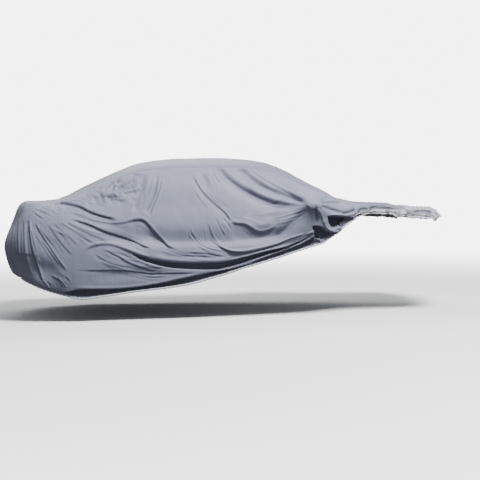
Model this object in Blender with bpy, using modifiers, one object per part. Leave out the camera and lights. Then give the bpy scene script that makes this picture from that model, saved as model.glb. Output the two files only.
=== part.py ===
"""A fitted car cover of grey coated nylon, in the shape in which it hangs.

Three panels are sewn edge to edge: a top panel that runs from the nose over the roof and down the
tail, and a side panel on each side. The right side panel (-Y) is pulled up at the front and shows
the folds. X points to the front, Z is up, and the origin is the underside of the cloth at the
middle of the roof, where the cover is held up. Heights in the tables are above the ground.
"""
import bpy
import numpy as np

# driving sizes, in metres
roof_height = 1.462       # underside of the cloth over the middle of the roof, above the ground
cloth = 0.002             # thickness of the coated cloth with its fleece back
seam_gap = 0.0003         # between two panels at their seam
hem_tuck = 0.055          # how far the elastic draws the hem in under the lower edge
# how far the drawn-in hem hangs below the lower edge, at each x
hem_drops = ((-1.90, 0.014), (-1.30, 0.016), (-1.05, 0.036), (-0.40, 0.036), (0.10, 0.018))
bonnet_hem_share = 0.4    # of that tuck, where the side lies bunched at the front
fold_start = {"seam": 0.06, "tail seam": 0.12, "hem": 0.09}    # folds reach full depth this far from an edge

cells_per_section = 3     # rows of cells from one section to the next, along the cover
cells_down_side = (4, 6, 6, 4)    # seam to shoulder, to belly, to foot, to hem
cells_across_top = 4      # from the middle of the top panel to its seam
steps_along_fold = 24

# Sections along the cover, nose to tail. The middle of the top panel: x, h. The seam (edge) between
# the top and side panels: x, y, h. Down the side: the shoulder (y, h), the belly, where the side
# is widest, and the foot, where the cloth turns under: x, y, h.
sections = [
    # place              middle        edge                 shoulder      belly                foot
    ("nose hem",         2.25, 0.872,  2.16, 0.48, 0.872,   0.56, 0.868,  2.10, 0.64, 0.862,   2.06, 0.70, 0.850),
    ("nose crest",       2.16, 0.935,  2.10, 0.48, 0.930,   0.57, 0.920,  2.04, 0.65, 0.900,   2.00, 0.72, 0.866),
    ("bonnet front",     1.98, 0.945,  1.93, 0.50, 0.938,   0.58, 0.922,  1.89, 0.66, 0.902,   1.87, 0.73, 0.876),
    ("bonnet middle",    1.78, 0.985,  1.75, 0.53, 0.950,   0.60, 0.928,  1.72, 0.67, 0.912,   1.70, 0.74, 0.892),
    ("bonnet rear",      1.58, 1.012,  1.56, 0.56, 0.970,   0.62, 0.950,  1.55, 0.69, 0.934,   1.54, 0.75, 0.914),
    ("bonnet top",       1.39, 1.032,  1.37, 0.60, 0.990,   0.68, 0.970,  1.36, 0.74, 0.950,   1.36, 0.79, 0.925),
    ("windscreen foot",  1.23, 1.070,  1.17, 0.64, 1.035,   0.76, 0.990,  1.23, 0.82, 0.935,   1.26, 0.83, 0.875),
    ("windscreen low",   1.10, 1.140,  1.02, 0.65, 1.095,   0.85, 0.995,  1.06, 0.88, 0.885,   1.10, 0.86, 0.763),
    ("mirror point",     0.93, 1.230,  0.84, 0.64, 1.170,   0.95, 1.000,  0.93, 0.90, 0.860,   0.95, 0.86, 0.674),
    ("windscreen head",  0.76, 1.325,  0.66, 0.62, 1.250,   0.85, 1.000,  0.72, 0.89, 0.800,   0.76, 0.86, 0.614),
    ("roof front",       0.62, 1.385,  0.50, 0.60, 1.305,   0.81, 1.000,  0.52, 0.88, 0.740,   0.52, 0.86, 0.541),
    ("front door",       0.42, 1.432,  0.32, 0.60, 1.335,   0.80, 0.990,  0.30, 0.88, 0.690,   0.28, 0.86, 0.476),
    ("door pillar",      0.15, 1.457,  0.08, 0.60, 1.345,   0.80, 0.980,  0.06, 0.88, 0.660,   0.04, 0.86, 0.403),
    ("rear door",       -0.15, 1.460, -0.18, 0.60, 1.345,   0.80, 0.980, -0.20, 0.88, 0.650,  -0.22, 0.86, 0.347),
    ("roof rear",       -0.43, 1.448, -0.44, 0.60, 1.338,   0.80, 0.975, -0.48, 0.88, 0.640,  -0.50, 0.85, 0.316),
    ("window head",     -0.68, 1.410, -0.68, 0.60, 1.308,   0.80, 0.970, -0.72, 0.88, 0.640,  -0.74, 0.85, 0.292),
    ("rear window",     -0.94, 1.312, -0.92, 0.61, 1.225,   0.81, 0.960, -0.96, 0.88, 0.640,  -0.98, 0.85, 0.262),
    ("window low",      -1.17, 1.208, -1.14, 0.63, 1.130,   0.82, 0.940, -1.17, 0.88, 0.640,  -1.17, 0.85, 0.236),
    ("boot front",      -1.40, 1.095, -1.34, 0.65, 1.058,   0.82, 0.920, -1.39, 0.87, 0.645,  -1.34, 0.83, 0.266),
    ("boot",            -1.60, 1.062, -1.52, 0.65, 1.038,   0.77, 0.900, -1.66, 0.81, 0.655,  -1.57, 0.78, 0.338),
    ("boot rear",       -1.77, 1.050, -1.66, 0.60, 1.030,   0.60, 0.870, -1.83, 0.60, 0.660,  -1.75, 0.60, 0.402),
]
# The middle of the top panel goes on down the tail, level with the shoulder, belly and foot: x, h.
tail_middle = [("tail top", -1.85, 0.880), ("tail", -1.91, 0.660), ("tail foot", -1.85, 0.410)]

# The main folds of the right side panel, seen from the side. A route runs through x, h points; the
# depth is in along the normal, so a ridge is negative. All sizes in metres.
folds = [
    # place                    depth   half width   route
    ("below rear window",       0.040, 0.050, ((-1.37, 1.05), (-1.18, 1.00), (-0.99, 0.92), (-0.83, 0.88))),
    ("quarter, upper",          0.022, 0.045, ((-1.29, 0.97), (-1.02, 0.88), (-0.83, 0.85), (-0.68, 0.88))),
    ("quarter, middle",         0.026, 0.045, ((-1.27, 0.92), (-0.98, 0.81), (-0.74, 0.72), (-0.59, 0.64))),
    ("quarter, lower",          0.018, 0.045, ((-1.33, 0.86), (-1.16, 0.80), (-0.96, 0.70))),
    ("wheel arch lip",         -0.030, 0.060, ((-1.20, 0.58), (-1.03, 0.65), (-0.90, 0.66), (-0.72, 0.60))),
    ("undercut below the arch", 0.036, 0.050, ((-0.86, 0.62), (-0.65, 0.55), (-0.35, 0.48), (-0.10, 0.47))),
    ("undercut below the doors", 0.040, 0.042, ((-0.25, 0.47), (0.12, 0.49), (0.40, 0.55), (0.67, 0.63))),
    ("door bulge",             -0.026, 0.060, ((-0.43, 0.56), (-0.13, 0.55), (0.20, 0.56), (0.55, 0.65))),
    ("low crease",              0.014, 0.040, ((-1.23, 0.46), (-0.79, 0.44), (-0.48, 0.40), (-0.13, 0.41))),
    ("pocket behind the door",  0.024, 0.050, ((-0.76, 0.88), (-0.62, 0.84), (-0.50, 0.72), (-0.34, 0.62))),
    ("rear door to roof",       0.020, 0.050, ((-0.18, 1.27), (-0.08, 1.12), (0.05, 0.97), (0.15, 0.86))),
    ("roof to mirror, rear",    0.030, 0.050, ((0.08, 1.34), (0.20, 1.21), (0.43, 1.08), (0.80, 1.00))),
    ("roof to mirror, front",   0.026, 0.045, ((0.28, 1.33), (0.42, 1.20), (0.60, 1.11), (0.82, 1.03))),
    ("mirror to door",          0.018, 0.045, ((0.86, 0.94), (0.76, 0.85), (0.62, 0.76), (0.50, 0.69))),
    ("slack below the glass",   0.020, 0.050, ((0.30, 0.82), (0.39, 0.76), (0.50, 0.77), (0.57, 0.82))),
    ("below the mirror",        0.024, 0.045, ((0.91, 0.95), (0.93, 0.86), (0.95, 0.76))),
    ("opening at the wing",     0.030, 0.060, ((1.00, 0.86), (1.08, 0.85), (1.20, 0.89))),
    ("rear corner",             0.022, 0.050, ((-1.62, 0.95), (-1.58, 0.67), (-1.54, 0.50), (-1.50, 0.37))),
    ("rear corner, second",     0.018, 0.045, ((-1.52, 0.82), (-1.42, 0.64), (-1.33, 0.46))),
    ("bunch on the bonnet",     0.014, 0.016, ((1.52, 0.945), (1.74, 0.925), (1.96, 0.905))),
    ("bunch, lower",            0.010, 0.012, ((1.66, 0.905), (1.82, 0.895), (2.02, 0.875))),
]
# The bunched cloth at the front: ridges across the top panel, at x, with their height and half width.
bunches = [
    # place             x     height  half width
    ("behind the nose", 2.10, 0.016,  0.050),
    ("first roll",      1.92, 0.014,  0.050),
    ("second roll",     1.70, 0.010,  0.060),
]


def glide(points, at, before=None, after=None):
    """Smooth curve through points (n, ..., 3), read at positions counted in points."""
    points = np.asarray(points, float)
    n = len(points)
    first = 2 * points[0] - points[1] if before is None else before
    last = 2 * points[-1] - points[-2] if after is None else after
    padded = np.concatenate([[first], points, [last]])
    step = np.linalg.norm(np.diff(padded, axis=0), axis=-1, keepdims=True) ** 0.5 + 1e-6
    slope_before = np.diff(padded, axis=0)[:-1] / step[:-1]
    slope_after = np.diff(padded, axis=0)[1:] / step[1:]
    tangent = (slope_before * step[1:] + slope_after * step[:-1]) / (step[:-1] + step[1:])
    i = np.clip(np.floor(at).astype(int), 0, n - 2)
    t = (at - i).reshape((-1,) + (1,) * (points.ndim - 1))
    span = step[1:-1][i]
    return ((2 * t**3 - 3 * t**2 + 1) * points[i] + (t**3 - 2 * t**2 + t) * span * tangent[i]
            + (3 * t**2 - 2 * t**3) * points[i + 1] + (t**3 - t**2) * span * tangent[i + 1])


def hem_points(feet, ghost_foot):
    """The hem, drawn in under the feet, square to their line in plan."""
    along = np.gradient(np.concatenate([feet, [ghost_foot]]), axis=0)[:-1]
    inward = np.stack([along[:, 1], -along[:, 0], np.zeros(len(feet))], 1)
    inward /= np.linalg.norm(inward, axis=1, keepdims=True)
    bonnet_start, bonnet_end = sections[6][1], sections[4][1]
    share = np.interp(feet[:, 0], (bonnet_start, bonnet_end), (1, bonnet_hem_share))[:, None]
    drop = np.interp(feet[:, 0], *np.array(hem_drops).T)[:, None]
    return feet + share * (hem_tuck * inward - drop * np.array([0, 0, 1]))


def control_net():
    """The middle line, and for each section the side's points from the seam to the hem (right side)."""
    middle, side = [], []
    for _, mx, mh, ex, ey, eh, sy, sh, bx, by, bh, fx, fy, fh in sections:
        middle.append((mx, 0, mh - roof_height))
        side.append([(ex, -ey, eh - roof_height), ((ex + bx) / 2, -sy, sh - roof_height),
                     (bx, -by, bh - roof_height), (fx, -fy, fh - roof_height)])
    side = np.array(side)
    tail = np.array([(x, 0, h - roof_height) for _, x, h in tail_middle])
    hems = hem_points(side[:, 3], tail[2])
    side = np.concatenate([side, hems[:, None]], axis=1)
    tail_hem = tail[2] + np.array([hem_tuck, 0, -hem_drops[0][1]])
    return np.array(middle), side, np.concatenate([tail, [tail_hem]])


def side_surface(along, down):
    """Points of the right side panel, before its folds."""
    middle, side, tail = control_net()
    columns = []
    for k in range(5):
        ghost = None if k == 0 else tail[k - 1]
        columns.append(glide(side[:, k], along, after=ghost))
    columns = np.stack(columns)
    centre = glide(middle, along)
    return glide(columns, down, before=centre).transpose(1, 0, 2)


def route_distance(points, route):
    """Distance of points (..., 2) to a route, and how far along it the nearest place is, 0 to 1."""
    route = np.array(route)
    fine = glide(route, np.linspace(0, len(route) - 1, steps_along_fold))
    best = np.full(points.shape[:-1], 1e9)
    where = np.zeros(points.shape[:-1])
    for i, (a, b) in enumerate(zip(fine[:-1], fine[1:])):
        t = np.clip(((points - a) @ (b - a)) / ((b - a) @ (b - a)), 0, 1)
        gap = np.linalg.norm(points - a - t[..., None] * (b - a), axis=-1)
        nearer = gap < best
        best = np.where(nearer, gap, best)
        where = np.where(nearer, (i + t) / (len(fine) - 1), where)
    return best, where


def normals(grid):
    """Unit normals of a grid of points, pointing out of the cover on its right side."""
    down, along = np.gradient(grid, axis=1), np.gradient(grid, axis=0)
    normal = np.cross(down, along)
    return normal / np.linalg.norm(normal, axis=-1, keepdims=True)


def fade_at_edges(grid):
    """1 inside a side panel, 0 on its sewn edges and its hem, which the folds leave as they are."""
    fade = np.ones(grid.shape[:2])
    for place, edge in (("seam", grid[:, :1]), ("tail seam", grid[-1:]), ("hem", grid[:, -1:])):
        fade *= np.clip(np.linalg.norm(grid - edge, axis=-1) / fold_start[place], 0, 1)
    return fade


def fold_side(grid):
    """Presses the main folds into the right side panel."""
    seen = grid[..., [0, 2]] + np.array([0, roof_height])
    press = np.zeros(grid.shape[:2])
    for _, depth, half_width, route in folds:
        gap, where = route_distance(seen, route)
        press += depth * np.exp(-(gap / half_width) ** 2) * np.sin(np.pi * np.clip(where, 0.06, 0.94)) ** 0.6
    return grid - normals(grid) * (press * fade_at_edges(grid))[..., None]


def top_surface(near_edge, far_edge, near_next, middle):
    """The top panel between its two seams, with its crown, right side first."""
    across = np.linspace(0, 2, 2 * cells_across_top + 1)
    mirrored_next = near_next * np.array([1, -1, 1])
    net = np.stack([near_edge, middle, far_edge])
    return glide(net, across, before=near_next, after=mirrored_next).transpose(1, 0, 2)


def bunch_top(grid):
    """Raises the bunched cloth at the front, most at the middle and nothing at the seams."""
    inside = np.sin(np.linspace(0, np.pi, grid.shape[1])) ** 0.5
    lift = np.zeros(grid.shape[:2])
    for _, x, height, half_width in bunches:
        lift += height * np.exp(-((grid[..., 0] - x) / half_width) ** 2)
    raised = grid.copy()
    raised[..., 2] += lift * inside
    return raised


def on_chords(line):
    """Moves every second point of a line to the middle of its neighbours."""
    line = line.copy()
    line[1:-1:2] = (line[:-2:2] + line[2::2]) / 2
    return line


def draw_in(edge, inner):
    """A sewn edge, drawn back towards the next line of points by half the gap between two panels."""
    pull = inner - edge
    return edge + seam_gap / 2 * pull / np.linalg.norm(pull, axis=-1, keepdims=True)


def make_sheet(name, grid, colour, flip):
    """One panel: an open sheet on the grid's points, thickened outwards."""
    rows, columns = grid.shape[:2]
    quads = []
    for i in range(rows - 1):
        for j in range(columns - 1):
            a = i * columns + j
            quad = (a, a + 1, a + columns + 1, a + columns)
            quads.append(quad[::-1] if flip else quad)
    mesh = bpy.data.meshes.new(name)
    mesh.from_pydata(grid.reshape(-1, 3).tolist(), [], quads)
    mesh.shade_smooth()
    panel = bpy.data.objects.new(name, mesh)
    material = bpy.data.materials.new(name)
    material.use_nodes = True
    shader = material.node_tree.nodes["Principled BSDF"]
    shader.inputs["Base Color"].default_value = colour
    shader.inputs["Roughness"].default_value = 0.55
    shader.inputs["Metallic"].default_value = 0.0
    mesh.materials.append(material)
    thicken = panel.modifiers.new("cloth", "SOLIDIFY")
    thicken.thickness = cloth
    thicken.offset = 1
    thicken.use_even_offset = True
    return panel


def build():
    for old in list(bpy.data.objects):
        bpy.data.objects.remove(old)
    cover = bpy.data.collections.new("car_cover")
    bpy.context.scene.collection.children.link(cover)

    middle, side, tail = control_net()
    last = len(sections) - 1
    along = np.linspace(0, last, last * cells_per_section + 1)
    down = np.concatenate([k + np.arange(n) / n for k, n in enumerate(cells_down_side)] + [[4]])

    smooth_side = side_surface(along, down)
    right = fold_side(smooth_side)
    left = smooth_side[::2, ::2] * np.array([1, -1, 1])

    # the top panel's edge follows the seam to the rear corner, then down the tail
    beside = side_surface(np.array([last - 1.0]), down)[0]
    near_edge = np.concatenate([smooth_side[:, 0], smooth_side[-1, 1:]])
    near_next = np.concatenate([glide(side[:, 1], along, after=tail[0]), beside[1:]])
    whole_middle = np.concatenate([middle, tail])
    middle_line = glide(whole_middle, np.concatenate([along, last + down[1:]]))
    far_edge = on_chords(near_edge) * np.array([1, -1, 1])
    top = bunch_top(top_surface(near_edge, far_edge, near_next, middle_line))

    top[:, 0] = draw_in(top[:, 0], top[:, 1])
    top[:, -1] = draw_in(top[:, -1], top[:, -2])
    for panel in (right, left):
        panel[:, 0] = draw_in(panel[:, 0], panel[:, 1])
        panel[-1] = draw_in(panel[-1], panel[-2])

    for name, grid, colour, flip in (
            ("top_panel", top, (0.36, 0.38, 0.43, 1), False),
            ("side_panel_right", right, (0.31, 0.33, 0.38, 1), False),
            ("side_panel_left", left, (0.31, 0.33, 0.38, 1), True)):
        cover.objects.link(make_sheet(name, grid, colour, flip))


build()
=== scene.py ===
import math

import bpy
import numpy as np
from mathutils import Matrix, Vector, noise


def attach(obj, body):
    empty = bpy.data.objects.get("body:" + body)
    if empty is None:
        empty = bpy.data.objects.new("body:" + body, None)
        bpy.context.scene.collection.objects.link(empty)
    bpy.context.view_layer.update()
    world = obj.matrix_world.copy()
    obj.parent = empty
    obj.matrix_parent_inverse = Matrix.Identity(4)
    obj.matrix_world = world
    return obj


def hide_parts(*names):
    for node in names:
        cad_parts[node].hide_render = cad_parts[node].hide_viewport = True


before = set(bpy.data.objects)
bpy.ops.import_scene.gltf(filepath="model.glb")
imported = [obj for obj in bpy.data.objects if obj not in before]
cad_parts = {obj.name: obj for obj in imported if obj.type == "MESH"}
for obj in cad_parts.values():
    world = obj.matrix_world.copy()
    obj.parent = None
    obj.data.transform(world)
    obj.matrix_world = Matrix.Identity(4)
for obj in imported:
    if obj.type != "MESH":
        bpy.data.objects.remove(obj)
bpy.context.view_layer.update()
print("frame:", sorted(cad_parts))

roofHeight = 1.462    # the origin is the underside of the cloth over the roof; the ground is this far below

# The form of the cover: sections from the nose to the tail, as in the CAD part, in millimetres. Each has
# the middle of the top panel (x, h), the seam (x, y, h), the shoulder (y, h), the belly and the foot
# (x, y, h). h is the height above the ground.
sections = [(name, *(np.array(numbers) / 1000)) for name, *numbers in (
    ("nose hem", 2250, 872,  2160, 480, 872,  560, 868,  2100, 640, 862,  2060, 700, 850),
    ("nose crest", 2160, 935,  2100, 480, 930,  570, 920,  2040, 650, 900,  2000, 720, 866),
    ("bonnet front", 1980, 945,  1930, 500, 938,  580, 922,  1890, 660, 902,  1870, 730, 876),
    ("bonnet middle", 1780, 985,  1750, 530, 950,  600, 930,  1720, 670, 912,  1700, 740, 892),
    ("bonnet rear", 1580, 1012,  1560, 560, 985,  620, 968,  1550, 690, 948,  1540, 750, 925),
    ("bonnet top", 1390, 1032,  1370, 600, 995,  680, 975,  1360, 740, 952,  1360, 790, 922),
    ("windscreen foot", 1230, 1070,  1170, 640, 1035,  760, 990,  1230, 820, 935,  1260, 830, 875),
    ("windscreen low", 1100, 1140,  1020, 650, 1095,  850, 995,  1060, 880, 885,  1100, 860, 763),
    ("mirror point", 930, 1230,  840, 640, 1170,  950, 1000,  930, 900, 860,  950, 860, 674),
    ("windscreen head", 760, 1325,  660, 620, 1250,  850, 1000,  720, 890, 800,  760, 860, 614),
    ("roof front", 620, 1385,  500, 600, 1305,  810, 1000,  520, 880, 740,  520, 860, 541),
    ("front door", 420, 1432,  320, 600, 1335,  800, 990,  300, 880, 690,  280, 860, 476),
    ("door pillar", 150, 1457,  80, 600, 1345,  800, 980,  60, 880, 660,  40, 860, 403),
    ("rear door", -150, 1460,  -180, 600, 1345,  800, 980,  -200, 880, 650,  -220, 860, 347),
    ("roof rear", -430, 1448,  -440, 600, 1338,  800, 975,  -480, 880, 640,  -500, 850, 316),
    ("window head", -680, 1410,  -680, 600, 1308,  800, 970,  -720, 880, 640,  -740, 850, 292),
    ("rear window", -940, 1312,  -920, 610, 1225,  810, 960,  -960, 880, 640,  -980, 850, 262),
    ("window low", -1170, 1208,  -1140, 630, 1130,  820, 940,  -1170, 880, 640,  -1170, 850, 236),
    ("boot front", -1400, 1095,  -1340, 650, 1058,  820, 920,  -1390, 870, 645,  -1340, 830, 266),
    ("boot", -1600, 1062,  -1520, 650, 1038,  770, 900,  -1660, 810, 655,  -1570, 780, 338),
    ("boot rear", -1770, 1050,  -1660, 600, 1030,  600, 870,  -1830, 600, 660,  -1750, 600, 402),
)]
# x, h of the tail's middle, level with the shoulder, the belly and the foot
tailMiddle = [(-1.85, 0.880), (-1.91, 0.660), (-1.85, 0.410)]

cloth = {
    "thickness": 0.002,
    # x, and how far the hem is drawn in and hangs below the foot there
    "hemTucks": ((-1.90, 0.050), (-1.40, 0.040), (-1.22, 0.014), (0.90, 0.014), (1.10, 0.030)),
    "hemDrops": ((-1.90, 0.014), (-1.30, 0.016), (-1.05, 0.036), (-0.40, 0.036), (0.10, 0.018)),
    "bonnetHemShare": 0.4,     # of both at the front
    "rowsAlong": 560,          # cells along the right side
    "rowsAlongFar": 350,       # and along the left side and the top
    "rowsDown": (36, 36, 54, 14),    # cells from seam to shoulder, belly, foot and hem, right side
    "rowsDownFar": (22, 22, 26, 10),
    "rowsAcross": 46,          # cells from the middle of the top to a seam
    "liningSlack": 0.016,      # how far at most the lining hangs clear of a fold
}
mirrorY = np.array([1, -1, 1])
insideHeight = -0.6    # of a point well inside the cover, to tell which way is out


def glide(points, at, before=None, after=None):
    # a smooth curve through points (n, ..., 3), read at places counted in points
    points = np.asarray(points, float)
    first = 2 * points[0] - points[1] if before is None else before
    last = 2 * points[-1] - points[-2] if after is None else after
    padded = np.concatenate([[first], points, [last]])
    steps = np.diff(padded, axis=0)
    span = np.linalg.norm(steps, axis=-1, keepdims=True) ** 0.5 + 1e-6
    slope = steps / span
    tangent = (slope[:-1] * span[1:] + slope[1:] * span[:-1]) / (span[:-1] + span[1:])
    i = np.clip(np.floor(at).astype(int), 0, len(points) - 2)
    t = (at - i).reshape((-1,) + (1,) * (points.ndim - 1))
    inner = span[1:-1][i]
    return ((2 * t**3 - 3 * t**2 + 1) * points[i] + (t**3 - 2 * t**2 + t) * inner * tangent[i]
            + (3 * t**2 - 2 * t**3) * points[i + 1] + (t**3 - t**2) * inner * tangent[i + 1])


def hemPoints(feet, ghostFoot):
    # the hem lies a little inward of the foot and below it
    along = np.gradient(np.concatenate([feet, [ghostFoot]]), axis=0)[:-1]
    inward = np.stack([along[:, 1], -along[:, 0], np.zeros(len(feet))], 1)
    inward /= np.linalg.norm(inward, axis=1, keepdims=True)
    windscreenFoot, bonnetRear = sections[6][1], sections[4][1]
    share = np.interp(feet[:, 0], (windscreenFoot, bonnetRear), (1, cloth["bonnetHemShare"]))[:, None]
    drop, tuck = [np.interp(feet[:, 0], *np.array(cloth[key]).T)[:, None] for key in ("hemDrops", "hemTucks")]
    return feet + share * (tuck * inward - drop * np.array([0, 0, 1]))


def controlNet():
    # the middle line, the side's five lines from seam to hem, and the tail's middle
    middle, side = [], []
    for _, mx, mh, ex, ey, eh, sy, sh, bx, by, bh, fx, fy, fh in sections:
        middle.append((mx, 0, mh - roofHeight))
        side.append([(ex, -ey, eh - roofHeight), ((ex + bx) / 2, -sy, sh - roofHeight),
                     (bx, -by, bh - roofHeight), (fx, -fy, fh - roofHeight)])
    side = np.array(side)
    tail = np.array([(x, 0, h - roofHeight) for x, h in tailMiddle])
    side = np.concatenate([side, hemPoints(side[:, 3], tail[2])[:, None]], axis=1)
    tailHem = tail[2] + np.array([cloth["hemTucks"][0][1], 0, -cloth["hemDrops"][0][1]])
    return np.array(middle), side, np.concatenate([tail, [tailHem]])


middleNet, sideNet, tailNet = controlNet()


def sideSurface(along, down):
    # right side: rows along the cover, columns from the seam to the hem
    columns = [glide(sideNet[:, k], along, after=None if k == 0 else tailNet[k - 1]) for k in range(5)]
    return glide(np.stack(columns), down, before=glide(middleNet, along)).transpose(1, 0, 2)


def topSurface(edge, beside, middle):
    across = np.linspace(0, 2, 2 * cloth["rowsAcross"] + 1)
    net = np.stack([edge, middle, edge * mirrorY])
    return glide(net, across, before=beside, after=beside * mirrorY).transpose(1, 0, 2)


def spread(counts):
    # places counted in control points, with counts cells in each gap
    return np.concatenate([k + np.arange(n) / n for k, n in enumerate(counts)] + [[len(counts)]])


def evenPlaces(points, count):
    # count + 1 places along a line of control points, evenly spaced by length
    dense = np.linspace(0, len(points) - 1, 4001)
    line = glide(points, dense)
    length = np.concatenate([[0], np.cumsum(np.linalg.norm(np.diff(line, axis=0), axis=1))])
    return np.interp(np.linspace(0, length[-1], count + 1), length, dense)


def normalsOf(grid):
    # unit normals of a grid, pointing out of the cover
    normal = np.cross(np.gradient(grid, axis=1), np.gradient(grid, axis=0))
    normal /= np.linalg.norm(normal, axis=-1, keepdims=True) + 1e-12
    outward = np.sum(normal * (grid - np.array([grid[..., 0].mean(), 0, insideHeight]))) > 0
    return normal if outward else -normal


def runLength(grid, axis):
    # length along a grid, from its first row or column
    step = np.linalg.norm(np.diff(grid, axis=axis), axis=-1)
    start = np.zeros_like(np.take(step, [0], axis=axis))
    return np.concatenate([start, np.cumsum(step, axis=axis)], axis=axis)


along = evenPlaces(sideNet[:, 2], cloth["rowsAlongFar"])
nearSide = sideSurface(evenPlaces(sideNet[:, 2], cloth["rowsAlong"]), spread(cloth["rowsDown"]))
farSide = sideSurface(along, spread(cloth["rowsDownFar"]))
lastSection = len(sections) - 1
tailPlaces = spread(cloth["rowsDownFar"])
wholeMiddle = np.concatenate([middleNet, tailNet])
topEdge = np.concatenate([farSide[:, 0], farSide[-1, 1:]])
besideTail = sideSurface(np.array([lastSection - 1.0]), tailPlaces)[0, 1:]
besideTop = np.concatenate([glide(sideNet[:, 1], along, after=tailNet[0]), besideTail])
topMiddle = glide(wholeMiddle, np.concatenate([along, lastSection + tailPlaces[1:]]))
topSide = topSurface(topEdge, besideTop, topMiddle)
print("form: near side", nearSide.shape, "far side", farSide.shape, "top", topSide.shape)

# The folds of the near side. A row has a name, a shape and a route of x, h pairs in millimetres.
# The shape is depth, lip, left and right in millimetres, and shade, fadeIn and fadeOut in hundredths.
# Depth is how far the hollow is pressed in, lip how far the cloth swells out on the route's left (above
# it, where it runs to the front), left and right are the half widths to each side, shade is how dark the
# shade painted at the bottom of the crease is, and fadeIn and fadeOut are the shares of the route where
# it starts and ends.
foldUnits = (1000,) * 4 + (100,) * 3


def unpacked(units, table):
    # the rows of a table in metres and shares
    return [(name, *(np.array(shape) / units), np.reshape(route, (-1, 2)) / 1000)
            for name, shape, route in table]


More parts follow.
